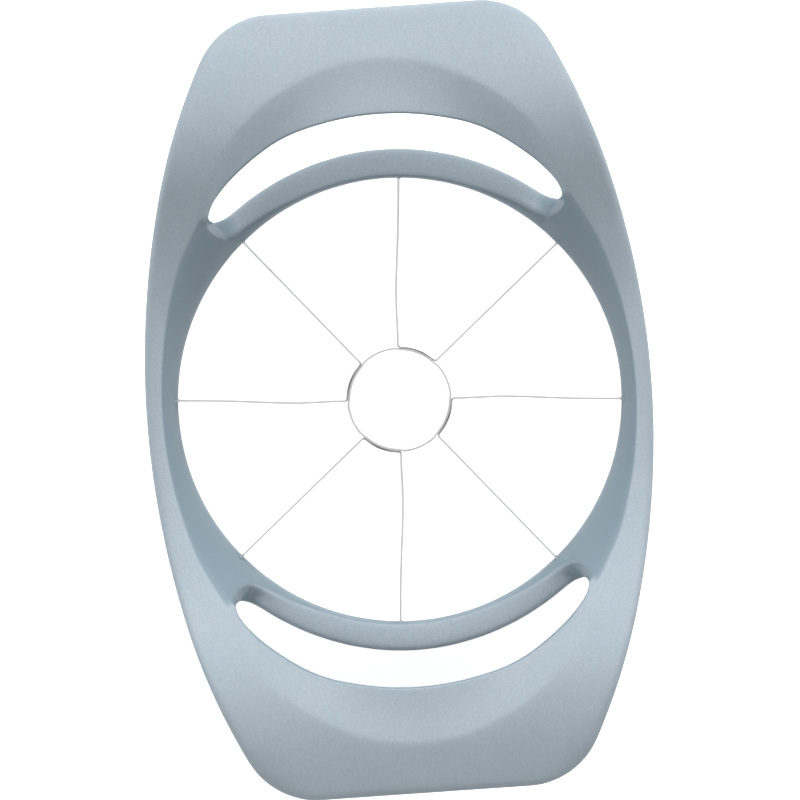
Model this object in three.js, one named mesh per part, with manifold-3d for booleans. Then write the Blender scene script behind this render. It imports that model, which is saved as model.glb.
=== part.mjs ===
// Hand-pressed apple slicer: a one-piece plastic frame with two raised handles, and a set of steel blades.
// Millimetres, +Z up. The ring's foot stands on Z = 0, centred on the origin. The handles lie along Y.
import * as THREE from "three";
import { mergeVertices } from "three/addons/utils/BufferGeometryUtils.js";
import Module from "manifold-3d";

const wasm = await Module();
wasm.setup();
const { degToRad, radToDeg, lerp, smoothstep } = THREE.MathUtils;

// The frame in plan, from its centre outwards
const ringInnerRadius = 49.9;
const wallFlare = 2.7; // from the ring out to the crease, at the sides
const lipWidth = 3.6; // from the crease out to the edge, at the sides
const barWidth = 6.1; // the ring's wall beside a finger slot
const slotWidth = 6.8;
const scoopWidth = 12; // from a slot out to the crease, at a handle's middle
const handleDepth = 11.5; // from the crease out to a handle's end
const sideArcRadius = 172.5;
const cornerRadius = 17;

// The frame in height
const sideHeight = 20;
const handleHeight = 39.5;
const uprightHeight = 7; // the ring's wall is upright up to here
const barHeight = 12;
const barEndRise = 5; // how much higher the bar's crest stands at a slot's end
const scoopSlope = 0.61; // the steepest that a scoop gets, as rise over run
const scoopHollow = 0.8; // how much of that slope is lost by the slot's edge, at a handle's middle

// The frame's walls and roundings
const footWidth = 4.5;
const footRounding = 0.5;
const sideThickness = 3.4;
const handleThickness = 4;
const edgeRounding = 1.8; // how far the outer edge rounds down
const edgeRoundingWidth = 3;
const barInnerRounding = 0.9;
const barOuterRounding = 0.9;
const barOuterRoundingWidth = 1.4;
const barLip = 1.1; // the upright band under the bar's outer rounding
const barCrestShift = 2; // towards a slot's end the bar's crest moves out by about this
const barLean = 3; // how steep the bar's inner side is where it leans out to the crest
const slotRounding = 0.5;
const creaseRoundingAtSide = 0.4;
const creaseRoundingAtHandle = 2.2;
const noseInset = 1.4; // the bar's side draws into the slot by this at the slot's end

// The blades and the core ring
const bladeThickness = 0.45;
const bladeHeight = 9.5;
const bladeLift = 0.8; // the cutting edges stay this far above the foot
const bladeBevelHeight = 1.8;
const bladeEdgeThickness = 0.12;
const bladeAnchor = 2.6; // the length of a blade's end inside the ring's wall
const bladeBow = 0.45; // the first leg of each strip bows sideways by this
const bladeSet = 0.25; // the first leg's outer end stands this far to one side
const bladeBowPower = 1.8; // above 1, the bow is fullest nearer the core ring
const bladeSetBack = 0.15; // the second leg's outer end stands this far to the other side
const coreRadius = 11.5;
const coreWall = 0.5;
const coreHeight = 10.5;
const bendRadius = 1;
const stripClearance = 0.15; // between a strip and the core ring
const pocketClearance = 0.12; // round a blade's end, inside the ring's wall
const bossRadius = 0.85;
const bossCap = 0.6; // a boss reaches this far above its blade

// Angles in degrees, from the X axis
const wallRimAngle = 45.4; // the bowl's wall ends here and the slot's rounded end begins
const noseAngle = 47.5;
const barStartAngle = 55;
const wallGuardAngle = 44.9; // a section close to the rim, to keep it crisp
const wallGuardReach = 4.6;
const rimTurn = 1.5; // the rim is carried this far on round the slot's end
const scoopHollowAngle = 57;
const bladeTurn = -4; // the blades stand a little turned from the frame's own axes
const bladeSpacing = 45;
const hugTurn = 1.7; // the strips' bends stand turned by this round the core ring

// Counts
const sectorSteps = { wall: 9, rim: 2, slot: 3, corner: 5, end: 3 };
const coreSteps = 48;
const legSteps = 6;
const bendSteps = 4;
const hugSteps = 5;
const bossSides = 10;
const stripNames = ["blade_strip_a", "blade_strip_b", "blade_strip_c", "blade_strip_d"];

// The plate along Y: each pair is a share of the half length and a share of the rise from side to handle
const plateRiseShares = [
  [0, 0],
  [0.205, 0.072],
  [0.408, 0.356],
  [0.508, 0.595],
  [0.608, 0.838],
  [0.708, 0.985],
  [0.765, 1],
  [0.858, 0.949],
  [1, 0.785],
];
// The crease round the bowl: each pair is an angle and a share of the way from the ring to the outer edge
const creaseShares = [
  [0, 0.389],
  [14, 0.417],
  [18, 0.444],
  [27, 0.47],
  [36, 0.49],
  [41, 0.46],
  [47.3, 0.44],
  [53.3, 0.487],
  [59.5, 0.527],
  [66.7, 0.508],
  [74, 0.553],
  [81.5, 0.643],
  [90, 0.683],
];
// The scoop's slope: each pair is an angle and a share of the steepest slope
const scoopSlopeShares = [
  [47.5, 0.62],
  [54, 0.96],
  [57, 1],
  [63, 0.98],
  [69, 0.87],
  [75, 0.7],
  [78, 0.56],
  [84, 0.36],
  [90, 0.31],
];
// A slot's two edges: each pair is an angle and a share, of the slot's width or of the nose's inset
const handleEdgeShares = [
  [47.5, 0.25],
  [48.2, 0.353],
  [49.3, 0.447],
  [51.3, 0.545],
  [54.4, 0.643],
  [60, 0.778],
  [66, 0.915],
  [69.5, 0.976],
  [73, 1],
];
const noseInsetShares = [
  [47.5, 0.88],
  [48.2, 0.55],
  [49.3, 0.2],
  [50.5, -0.03],
  [52, -0.13],
  [56, -0.157],
  [66, -0.11],
  [90, 0],
];
// The bar's crest and its slot side: each pair is an angle and a share of the end rise or the crest's shift
const barCrestRiseShares = [
  [47.5, 1],
  [50, 0.54],
  [52, 0.36],
  [55, 0.24],
  [60, 0.1],
  [68, 0],
];
const barEdgeRiseShares = [
  [47.5, 0.8],
  [50, 0.46],
  [52, 0.35],
  [55, 0.28],
  [60, 0.14],
  [68, 0.04],
];
const barCrestShiftShares = [
  [46.4, 1.28],
  [47.5, 1.07],
  [49, 0.83],
  [50, 0.67],
  [52, 0.53],
  [55, 0.45],
  [60, 0.24],
  [70, 0],
];
// How far round the slot's rounded end each inner row is carried, in shares of the rim's turn
const rimTurnShares = [0.73, 0.73, 0.73, 0.33, 0.33, 0.5, 0.6, 0.93, 1, 0.93, 0.53, 0.2];
const noseStepShares = [0, 0.09, 0.24, 0.5];
const wallRowShares = [0.02, 0.07, 0.16, 0.3, 0.45, 0.57, 0.68, 0.82, 0.88, 0.92, 0.96, 1];
const outerWallShares = [0.86, 0.74, 0.62, 0.4, 0.2];
const wallLeanShare = 0.58; // below 1, the bowl's wall starts upright at the ring and leans out as it rises
const roundShare = 0.3; // a rounding's middle point lies this share of its radius in from each face
const crestLeanShare = 0.75; // the crest's lower side makes this share of the crest's shift
const barMiddleShare = 0.45;
const barBulgeShare = 0.7; // at its middle point the bar's top has made this share of its rise or fall

const barOuterRadius = ringInnerRadius + barWidth;
const footOuterRadius = ringInnerRadius + footWidth;
const halfWidth = ringInnerRadius + wallFlare + lipWidth;
const halfLength = barOuterRadius + slotWidth + scoopWidth + handleDepth;
const bladeTop = bladeLift + bladeHeight;

// A smooth curve through pairs of a place and a value, level at both ends
function curveThrough(pairs, place) {
  const last = pairs.length - 1;
  if (place <= pairs[0][0]) return pairs[0][1];
  if (place >= pairs[last][0]) return pairs[last][1];
  const slopeAt = (i) => {
    if (i === 0 || i === last) return 0;
    const before = (pairs[i][1] - pairs[i - 1][1]) / (pairs[i][0] - pairs[i - 1][0]);
    const after = (pairs[i + 1][1] - pairs[i][1]) / (pairs[i + 1][0] - pairs[i][0]);
    return before * after <= 0 ? 0 : (2 * before * after) / (before + after);
  };
  const i = pairs.findIndex((pair) => pair[0] > place) - 1;
  const span = pairs[i + 1][0] - pairs[i][0];
  const rise = pairs[i + 1][1] - pairs[i][1];
  const t = (place - pairs[i][0]) / span;
  const bend = (slopeAt(i) * span - rise) * (1 - t) - (slopeAt(i + 1) * span - rise) * t;
  return pairs[i][1] + rise * t + t * (1 - t) * bend;
}

// The outer edge in plan: an arc along each side, round corners and straight ends
const sideCentre = new THREE.Vector2(halfWidth - sideArcRadius, 0);
const cornerY = halfLength - cornerRadius;
const cornerX = sideCentre.x + Math.sqrt((sideArcRadius - cornerRadius) ** 2 - cornerY ** 2);
const cornerCentre = new THREE.Vector2(cornerX, cornerY);
const tangentPoint = cornerCentre.clone().sub(sideCentre).setLength(sideArcRadius).add(sideCentre);
const cornerStartAngle = radToDeg(tangentPoint.angle());
const cornerEndAngle = radToDeg(Math.atan2(halfLength, cornerX));

function rayToCircle(angle, centre, radius) {
  const along = Math.cos(degToRad(angle)) * centre.x + Math.sin(degToRad(angle)) * centre.y;
  return along + Math.sqrt(along ** 2 - centre.lengthSq() + radius ** 2);
}

function edgeRadius(angle) {
  if (angle < cornerStartAngle) return rayToCircle(angle, sideCentre, sideArcRadius);
  if (angle > cornerEndAngle) return halfLength / Math.sin(degToRad(angle));
  return rayToCircle(angle, cornerCentre, cornerRadius);
}

function plateHeight(radius, angle) {
  const y = radius * Math.sin(degToRad(angle));
  return lerp(sideHeight, handleHeight, curveThrough(plateRiseShares, y / halfLength));
}

// The places that one section of the frame is drawn from
function placesAt(angle) {
  const edge = edgeRadius(angle);
  const crease = lerp(ringInnerRadius, edge, curveThrough(creaseShares, angle));
  const towardsHandle = smoothstep(angle, wallRimAngle, 90);
  const creaseRounding = lerp(creaseRoundingAtSide, creaseRoundingAtHandle, towardsHandle);
  const creaseStart = crease - creaseRounding;
  const handleEdge = barOuterRadius + slotWidth * curveThrough(handleEdgeShares, angle);
  return {
    edge,
    edgeZ: plateHeight(edge, angle),
    crease,
    creaseZ: plateHeight(crease, angle),
    creaseRounding,
    creaseStart,
    scoopSlope: scoopSlope * curveThrough(scoopSlopeShares, angle),
    scoopHollow: scoopHollow * smoothstep(angle, scoopHollowAngle, 90),
    barCrest: barHeight + barEndRise * curveThrough(barCrestRiseShares, angle),
    barTop: barHeight + barEndRise * curveThrough(barEdgeRiseShares, angle),
    crestShift: barCrestShift * curveThrough(barCrestShiftShares, angle),
    barEdge: barOuterRadius + noseInset * curveThrough(noseInsetShares, angle),
    handleEdge,
    slotRound: Math.min(slotRounding, (creaseStart - handleEdge) / 2),
    thickness: lerp(sideThickness, handleThickness, towardsHandle),
    gather: smoothstep(angle, wallRimAngle - (barStartAngle - wallRimAngle), noseAngle),
    open: smoothstep(angle, wallRimAngle, noseAngle),
    rim:
      angle > wallRimAngle
        ? Math.max(noseAngle - angle, 0) / (noseAngle - wallRimAngle)
        : smoothstep(angle, wallGuardAngle - wallGuardReach, wallGuardAngle),
  };
}

function wallHeight(at, radius) {
  const share = (radius - ringInnerRadius) / (at.crease - ringInnerRadius);
  return lerp(uprightHeight, at.creaseZ, Math.max(share, 0) ** wallLeanShare);
}

function wallRadius(at, z) {
  const share = (z - uprightHeight) / (at.creaseZ - uprightHeight);
  return lerp(ringInnerRadius, at.crease, Math.max(share, 0) ** (1 / wallLeanShare));
}

function scoopHeight(at, radius) {
  const inwards = at.crease - radius;
  return at.creaseZ - at.scoopSlope * inwards * (1 - (at.scoopHollow * inwards) / scoopWidth);
}

// The inner side: the bar and the handle's scoop beside a slot, or the bowl's wall elsewhere. Each row is a
// radius, a height and how far it is turned round the slot's end.
function innerRows(at) {
  const crest = ringInnerRadius + at.crestShift + barInnerRounding;
  const crestLow = ringInnerRadius + crestLeanShare * at.crestShift + barInnerRounding * roundShare;
  const crestDrop = barInnerRounding * roundShare + roundShare * at.crestShift;
  const barStart = at.barEdge - barOuterRoundingWidth;
  const scoopStart = at.handleEdge + at.slotRound;
  const scoopMiddle = lerp(scoopStart, at.creaseStart, 0.5);
  const beside = [
    [ringInnerRadius, at.barCrest - barInnerRounding - barLean * at.crestShift],
    [crestLow, at.barCrest - crestDrop],
    [crest, at.barCrest],
    [lerp(crest, barStart, barMiddleShare), lerp(at.barCrest, at.barTop, barBulgeShare)],
    [barStart, at.barTop],
    [at.barEdge - barOuterRoundingWidth * roundShare, at.barTop - barOuterRounding * roundShare],
    [at.barEdge, at.barTop - barOuterRounding],
    [at.handleEdge, scoopHeight(at, at.handleEdge) - at.slotRound],
    [at.handleEdge + at.slotRound * roundShare, scoopHeight(at, scoopStart) - at.slotRound * roundShare],
    [scoopStart, scoopHeight(at, scoopStart)],
    [scoopMiddle, scoopHeight(at, scoopMiddle)],
    [at.creaseStart, scoopHeight(at, at.creaseStart)],
  ];
  return beside.map(([besideRadius, besideZ], i) => {
    const radius = lerp(lerp(ringInnerRadius, at.creaseStart, wallRowShares[i]), besideRadius, at.gather);
    return [radius, lerp(wallHeight(at, radius), besideZ, at.open), rimTurn * rimTurnShares[i] * at.rim];
  });
}

// The plate from the crease to its rounded edge, seen from above
function plateRows(at, angle) {
  const start = at.crease + at.creaseRounding / 2;
  const end = at.edge - edgeRoundingWidth;
  const middle = lerp(start, end, 0.5);
  return [
    [at.crease, at.creaseZ - at.creaseRounding * at.scoopSlope * roundShare],
    [start, plateHeight(start, angle)],
    [middle, plateHeight(middle, angle)],
    [end, plateHeight(end, angle)],
    [at.edge - edgeRoundingWidth * roundShare, at.edgeZ - edgeRounding * roundShare],
    [at.edge, at.edgeZ - edgeRounding],
  ];
}

// The underside: from the plate's edge in to the slot or the bowl's outer wall, and down to the foot
function outerRows(at) {
  const lowerRounding = at.thickness - edgeRounding;
  const underZ = at.creaseZ - at.thickness;
  const outerWall = (z) => wallRadius(at, z) + lerp(footWidth, sideThickness, z / underZ);
  const handleUnderZ = scoopHeight(at, at.handleEdge) - at.thickness;
  const beside = [
    [at.handleEdge + at.slotRound, handleUnderZ],
    [at.handleEdge + at.slotRound * roundShare, handleUnderZ + at.slotRound * roundShare],
    [at.handleEdge, handleUnderZ + at.slotRound],
    [at.barEdge, at.barTop - barOuterRounding - barLip],
    [lerp(footOuterRadius, at.barEdge, 0.5), barHeight / 2],
  ];
  const between = beside.map(([radius, z], i) => {
    const wallZ = underZ * outerWallShares[i];
    return [lerp(outerWall(wallZ), radius, at.open), lerp(wallZ, z, at.open)];
  });
  return [
    [at.edge - lowerRounding * roundShare, at.edgeZ - at.thickness + lowerRounding * roundShare],
    [at.edge - lowerRounding, at.edgeZ - at.thickness],
    [Math.min(outerWall(underZ), at.edge - lowerRounding), underZ],
    ...between,
    [footOuterRadius, footRounding],
    [footOuterRadius - footRounding, 0],
  ];
}

// One closed section: up the inner side, over the plate and back underneath
function section(angle) {
  const at = placesAt(angle);
  return [
    [ringInnerRadius + footRounding, 0],
    [ringInnerRadius, footRounding],
    [ringInnerRadius, uprightHeight],
    ...innerRows(at),
    ...plateRows(at, angle),
    ...outerRows(at),
  ];
}
const barEdgeRow = 9; // the last row of the bar's top
const handleEdgeRow = barEdgeRow + 1;
const handleUnderRow = 26; // the last row of the handle's underside
const barUnderRow = handleUnderRow + 1;

function spread(from, to, steps) {
  return Array.from({ length: steps }, (_, i) => lerp(from, to, i / steps));
}

// The sections all round, mirrored from a quarter, and closer together at a slot's end and at the corners
function sectionAngles() {
  const quarter = [
    ...spread(0, wallRimAngle, sectorSteps.wall),
    wallGuardAngle,
    ...spread(wallRimAngle, noseAngle, sectorSteps.rim),
    ...noseStepShares.map((share) => lerp(noseAngle, barStartAngle, share)),
    ...spread(barStartAngle, cornerStartAngle, sectorSteps.slot),
    ...spread(cornerStartAngle, cornerEndAngle, sectorSteps.corner),
    ...spread(cornerEndAngle, 90, sectorSteps.end),
  ].map((angle) => ({ angle, full: angle, way: 1 }));
  const mirrored = quarter.slice(1).map(({ angle }) => ({ angle, full: 180 - angle, way: -1 }));
  const half = [...quarter, { angle: 90, full: 90, way: 1 }, ...mirrored.reverse()];
  return [...half, ...half.map(({ angle, full, way }) => ({ angle, full: full + 180, way }))];
}

function frameShell() {
  const around = sectionAngles();
  const rows = section(0).length;
  const points = around.flatMap(({ angle, full, way }) =>
    section(angle).flatMap(([radius, z, turn = 0]) => {
      const place = degToRad(full + way * turn);
      return [radius * Math.cos(place), radius * Math.sin(place), z];
    }),
  );
  const triangles = [];
  const quad = (a, b, c, d) => triangles.push(a, b, c, a, c, d);
  const atSlot = (i) => around[i % around.length].angle >= noseAngle;
  around.forEach((_, i) => {
    const here = i * rows;
    const next = ((i + 1) % around.length) * rows;
    const slotted = atSlot(i) && atSlot(i + 1);
    for (let row = 0; row < rows; row++) {
      const after = (row + 1) % rows;
      if (slotted && (row === barEdgeRow || row === handleUnderRow)) continue;
      quad(here + row, here + after, next + after, next + row);
    }
    if (slotted) {
      quad(here + barEdgeRow, here + barUnderRow, next + barUnderRow, next + barEdgeRow);
      quad(here + handleUnderRow, here + handleEdgeRow, next + handleEdgeRow, next + handleUnderRow);
    }
    const end = [barEdgeRow, handleEdgeRow, handleUnderRow, barUnderRow];
    if (!atSlot(i) && atSlot(i + 1)) quad(...end.map((row) => next + row));
    if (atSlot(i) && !atSlot(i + 1)) quad(...end.reverse().map((row) => here + row));
  });
  return new THREE.BufferGeometry()
    .setAttribute("position", new THREE.Float32BufferAttribute(points, 3))
    .setIndex(triangles);
}

function toSolid(geometry) {
  const bare = geometry.clone();
  bare.deleteAttribute("normal");
  bare.deleteAttribute("uv");
  const merged = mergeVertices(bare);
  const mesh = new wasm.Mesh({
    numProp: 3,
    vertProperties: merged.attributes.position.array,
    triVerts: new Uint32Array(merged.index.array),
  });
  return new wasm.Manifold(mesh);
}

function toGeometry(solid) {
  const { vertProperties, triVerts } = solid.getMesh();
  const geometry = new THREE.BufferGeometry()
    .setAttribute("position", new THREE.BufferAttribute(vertProperties, 3))
    .setIndex(new THREE.BufferAttribute(triVerts, 1));
  geometry.computeVertexNormals();
  return geometry;
}

// The frame's shell, with a boss and a pocket in the ring's wall for each blade's end
function frameGeometry() {
  let solid = toSolid(frameShell());
  const bossHeight = bladeTop + bossCap - footRounding;
  const pocketWidth = bladeThickness + 2 * pocketClearance;
  const pocketHeight = bladeHeight + 2 * pocketClearance;
  const pocketStart = ringInnerRadius - 2 * bossRadius;
  const pocketEnd = ringInnerRadius + bladeAnchor + pocketClearance;
  const boss = new THREE.CylinderGeometry(bossRadius, bossRadius, bossHeight, bossSides)
    .rotateX(Math.PI / 2)
    .translate(ringInnerRadius, 0, footRounding + bossHeight / 2);
  const pocket = new THREE.BoxGeometry(pocketEnd - pocketStart, pocketWidth, pocketHeight)
    .translate((pocketStart + pocketEnd) / 2, 0, bladeLift + bladeHeight / 2);
  stripNames.forEach((_, i) => {
    for (const [turn, offset] of [[0, bladeSet], [-bladeSpacing, -bladeSetBack]]) {
      const angle = degToRad(bladeTurn + 90 * i + turn);
      solid = solid.add(toSolid(boss.clone().translate(0, offset, 0).rotateZ(angle)));
      solid = solid.subtract(toSolid(pocket.clone().translate(0, offset, 0).rotateZ(angle)));
    }
  });
  return toGeometry(solid);
}

// The middle line of one strip, drawn for a first leg along X and a second leg a blade spacing clockwise. The
// strip comes in, bends, hugs the core ring, bends back and runs out again.
function stripPath() {
  const hugRadius = coreRadius + stripClearance + bladeThickness / 2;
  const bendDistance = Math.sqrt((hugRadius + bendRadius) ** 2 - bendRadius ** 2);
  const bendAngle = Math.asin(bendRadius / (hugRadius + bendRadius));
  const secondLeg = -degToRad(bladeSpacing);
  const origin = new THREE.Vector2();
  const turned = (point) => point.clone().rotateAround(origin, degToRad(hugTurn));
  const mirrored = (point) => new THREE.Vector2(point.x, -point.y).rotateAround(origin, secondLeg);

  const bendCentre = new THREE.Vector2(bendDistance, -bendRadius);
  const bend = Array.from({ length: bendSteps }, (_, i) => {
    const turn = Math.PI / 2 + (Math.PI / 2 + bendAngle) * (i / bendSteps);
    return new THREE.Vector2(Math.cos(turn), Math.sin(turn)).multiplyScalar(bendRadius).add(bendCentre);
  });
  const hug = Array.from({ length: hugSteps + 1 }, (_, i) => {
    const turn = lerp(-bendAngle, secondLeg + bendAngle, i / hugSteps);
    return new THREE.Vector2(Math.cos(turn), Math.sin(turn)).multiplyScalar(hugRadius);
  });
  const middle = [...bend, ...hug, ...bend.map(mirrored).reverse()].map(turned);

  const firstEnd = new THREE.Vector2(ringInnerRadius, bladeSet);
  const firstLeg = Array.from({ length: legSteps }, (_, i) => {
    const share = i / legSteps;
    const bow = bladeBow * Math.sin(Math.PI * share ** bladeBowPower) ** 2;
    return firstEnd.clone().lerp(middle[0], share).add(new THREE.Vector2(0, bow));
  });
  const firstAnchor = new THREE.Vector2(ringInnerRadius + bladeAnchor, bladeSet);
  const secondEnd = new THREE.Vector2(ringInnerRadius, -bladeSetBack).rotateAround(origin, secondLeg);
  const secondAnchor = new THREE.Vector2(ringInnerRadius + bladeAnchor, -bladeSetBack);
  return [firstAnchor, ...firstLeg, ...middle, secondEnd, secondAnchor.rotateAround(origin, secondLeg)];
}

// A strip of sheet steel on edge along a path, ground thin along its lower edge
function stripGeometry(path) {
  const half = bladeThickness / 2;
  const edge = bladeEdgeThickness / 2;
  const bevelTop = bladeLift + bladeBevelHeight;
  const profile = [
    [-half, bladeTop],
    [-half, bevelTop],
    [-edge, bladeLift],
    [edge, bladeLift],
    [half, bevelTop],
    [half, bladeTop],
  ];
  const points = path.flatMap((point, i) => {
    const before = path[Math.max(i - 1, 0)];
    const after = path[Math.min(i + 1, path.length - 1)];
    const inward = point.clone().sub(before).normalize();
    const outward = after.clone().sub(point).normalize();
    const along = inward.clone().add(outward).normalize();
    const widen = 1 / Math.max(along.dot(i === 0 ? outward : inward), Math.SQRT1_2);
    return profile.flatMap(([side, z]) => [
      point.x - along.y * side * widen,
      point.y + along.x * side * widen,
      z,
    ]);
  });
  const triangles = [];
  const rows = profile.length;
  for (let i = 0; i < path.length - 1; i++) {
    profile.forEach((_, row) => {
      const a = i * rows + row;
      const b = i * rows + ((row + 1) % rows);
      triangles.push(a, b, b + rows, a, b + rows, a + rows);
    });
  }
  const last = (path.length - 1) * rows;
  for (let row = 1; row < rows - 1; row++) {
    triangles.push(0, row + 1, row, last, last + row, last + row + 1);
  }
  return new THREE.BufferGeometry()
    .setAttribute("position", new THREE.Float32BufferAttribute(points, 3))
    .setIndex(triangles);
}

// The core ring: a short tube, ground thin along its lower edge like the blades
function coreRingGeometry() {
  const inner = coreRadius - coreWall;
  const top = bladeLift + coreHeight;
  const profile = [
    [inner, bladeLift],
    [inner + bladeEdgeThickness, bladeLift],
    [coreRadius, bladeLift + bladeBevelHeight],
    [coreRadius, top],
    [inner, top],
    [inner, bladeLift],
  ].map(([r, z]) => new THREE.Vector2(r, z));
  return new THREE.LatheGeometry(profile, coreSteps).rotateX(Math.PI / 2);
}

const plastic = new THREE.MeshStandardMaterial({ color: 0xb2bec7, roughness: 0.55, metalness: 0 });
const steel = new THREE.MeshStandardMaterial({ color: 0xc9cbcd, roughness: 0.28, metalness: 1 });

function named(name, geometry, material) {
  const mesh = new THREE.Mesh(geometry, material);
  mesh.name = name;
  return mesh;
}

const slicer = new THREE.Group();
slicer.add(named("frame", frameGeometry(), plastic));

const blades = new THREE.Group();
blades.rotation.z = degToRad(bladeTurn);
blades.add(named("core_ring", coreRingGeometry(), steel.clone()));
const path = stripPath();
stripNames.forEach((name, i) => {
  const strip = named(name, stripGeometry(path), steel.clone());
  strip.rotation.z = (i + 1) * Math.PI / 2;
  blades.add(strip);
});
slicer.add(blades);

export default slicer;
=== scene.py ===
# %% [markdown]
# A hand-pressed apple slicer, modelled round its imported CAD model. The real one is a plastic frame with two
# raised handles, moulded round a set of stainless blades. The CAD model says where everything is, and this
# script gives each piece its fine surface and its finish. Sizes are in metres and angles in degrees.

import math

import bmesh
import bpy
from mathutils import Matrix, Vector


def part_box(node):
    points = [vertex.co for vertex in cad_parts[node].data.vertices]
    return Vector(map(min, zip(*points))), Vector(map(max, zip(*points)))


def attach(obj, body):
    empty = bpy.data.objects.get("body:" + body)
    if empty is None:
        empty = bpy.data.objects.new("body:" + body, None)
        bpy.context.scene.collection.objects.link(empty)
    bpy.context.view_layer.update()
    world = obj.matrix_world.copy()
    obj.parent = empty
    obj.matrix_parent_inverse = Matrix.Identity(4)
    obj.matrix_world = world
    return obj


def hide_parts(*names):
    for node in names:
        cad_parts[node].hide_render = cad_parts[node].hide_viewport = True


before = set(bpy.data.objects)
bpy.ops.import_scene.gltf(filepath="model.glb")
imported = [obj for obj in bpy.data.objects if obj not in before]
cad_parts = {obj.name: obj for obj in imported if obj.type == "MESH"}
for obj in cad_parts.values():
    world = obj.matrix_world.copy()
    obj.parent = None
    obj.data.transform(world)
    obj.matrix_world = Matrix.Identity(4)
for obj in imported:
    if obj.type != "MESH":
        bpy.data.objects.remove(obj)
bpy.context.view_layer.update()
print("nodes", sorted(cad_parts))

# %% [markdown]
# By hand in Blender one selects a thing, enters edit mode, uses an operator and goes back. These helpers do
# the selecting. Everything is deselected first, because an operator acts on all that is selected.


# %% Helpers for selecting and editing
def select_only(piece):
    if bpy.context.object and bpy.context.object.mode != "OBJECT":
        leave_edit_mode()
    deselect_pieces()
    piece.select_set(True)
    bpy.context.view_layer.objects.active = piece


def edit(piece):
    select_only(piece)
    bpy.ops.object.mode_set(mode="EDIT")
    return bmesh.from_edit_mesh(piece.data)


def edit_all(piece):
    edit(piece)
    bpy.ops.mesh.select_all(action="SELECT")


def edit_unselected(piece):
    edit(piece)
    bpy.ops.mesh.select_all(action="DESELECT")
    return bmesh.from_edit_mesh(piece.data)


def leave_edit_mode():
    bpy.ops.object.mode_set(mode="OBJECT")


def face_outwards(piece):
    edit_all(piece)
    bpy.ops.mesh.normals_make_consistent(inside=False)
    leave_edit_mode()


def deselect_pieces():
    bpy.ops.object.select_all(action="DESELECT")


def name_piece(name):
    piece = bpy.context.object
    piece.name = name
    piece.data.name = name
    return piece


def apply_modifiers(piece):
    select_only(piece)
    for modifier in list(piece.modifiers):
        bpy.ops.object.modifier_apply(modifier=modifier.name)


def settle(piece):
    """Puts the piece's place into its mesh, so that its object sits at the origin."""
    select_only(piece)
    bpy.ops.object.transform_apply(location=True, rotation=True, scale=True)


def turn_about_origin(piece, degrees):
    piece.rotation_euler = (0, 0, math.radians(degrees))
    settle(piece)


def report(piece):
    sides = zip(*[point.co for point in piece.data.vertices])
    size = [round((max(side) - min(side)) * 1000, 1) for side in sides]
    print(piece.name, "faces", len(piece.data.polygons), "size in mm", size)


# %% [markdown]
# In plan the frame is a ring with a long rounded plate round it. These are its real sizes, from the centre
# outwards. The outer size is read from the CAD node's box, so that the moulding can't drift away from it.

# %% The frame's sizes
ring_inner_radius = 0.0499
bar_width = 0.0061  # the ring's wall beside a finger slot
slot_width = 0.0068
scoop_width = 0.012  # from a slot out to the crease, at a handle's middle
side_arc_radius = 0.1725
corner_radius = 0.017
frame_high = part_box("frame")[1]
half_width = frame_high[0]
half_length = frame_high[1]
handle_height = frame_high[2]
side_height = 0.020
upright_height = 0.007  # the ring's wall is upright up to here
bar_height = 0.012  # at the bar's crest, beside the opening
bar_end_rise = 0.005  # how much higher the crest stands at a slot's end
bar_bulge_share = 0.7  # halfway across, the bar's top has made this share of its rise or fall
scoop_slope = 0.61  # the steepest that a scoop gets, as rise over run
scoop_hollow = 0.8
foot_width = 0.0045
foot_rounding = 0.0005
side_thickness = 0.0034
handle_thickness = 0.004
edge_rounding = 0.0018  # how far the outer edge rounds down
edge_rounding_width = 0.003
bar_inner_rounding = 0.0009
bar_outer_rounding = 0.0009
bar_outer_rounding_width = 0.0014
bar_lip = 0.0011
bar_crest_shift = 0.002
bar_lean = 3  # how steep the bar's inner side is where it leans out to the crest
slot_rounding = 0.0005
crease_rounding_at_side = 0.0012
crease_rounding_at_handle = 0.0022
nose_inset = 0.0014
bar_outer_radius = ring_inner_radius + bar_width
foot_outer_radius = ring_inner_radius + foot_width
print("plate in mm", round(2000 * half_width, 1), "by", round(2000 * half_length, 1))

# %% [markdown]
# The frame's heights and lines could be drawn with splines by hand. Here each is a short list of points,
# which is easier to change and keeps the four quarters alike. The plate's height follows the place along Y
# alone. The crease, where the plate turns down into the bowl, and the slot's two edges go by angle round the
# ring.

# %% Curves of the frame
plate_rise_shares = [
    (0, 0), (0.205, 0.072), (0.408, 0.356), (0.508, 0.595), (0.608, 0.838),
    (0.708, 0.985), (0.765, 1), (0.858, 0.949), (1, 0.785),
]
crease_shares = [
    (0, 0.389), (14, 0.417), (18, 0.444), (27, 0.47), (36, 0.49), (41, 0.46),
    (47.3, 0.44), (53.3, 0.487), (59.5, 0.527), (66.7, 0.508), (74, 0.553),
    (81.5, 0.643), (90, 0.683),
]
scoop_slope_shares = [
    (47.5, 0.62), (54, 0.96), (57, 1), (63, 0.98), (69, 0.87), (75, 0.7),
    (78, 0.56), (84, 0.36), (90, 0.31),
]
handle_edge_shares = [
    (47.5, 0.25), (48.2, 0.353), (49.3, 0.447), (51.3, 0.545), (54.4, 0.643),
    (60, 0.778), (66, 0.915), (69.5, 0.976), (73, 1),
]
nose_inset_shares = [
    (47.5, 0.88), (48.2, 0.55), (49.3, 0.2), (50.5, -0.03), (52, -0.13),
    (56, -0.157), (66, -0.11), (90, 0),
]
bar_crest_rise_shares = [
    (47.5, 1), (50, 0.54), (52, 0.36), (55, 0.24), (60, 0.1), (68, 0),
]
bar_edge_rise_shares = [
    (47.5, 0.5), (50, 0.3), (52, 0.25), (55, 0.21), (60, 0.12), (68, 0.04),
]
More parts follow.
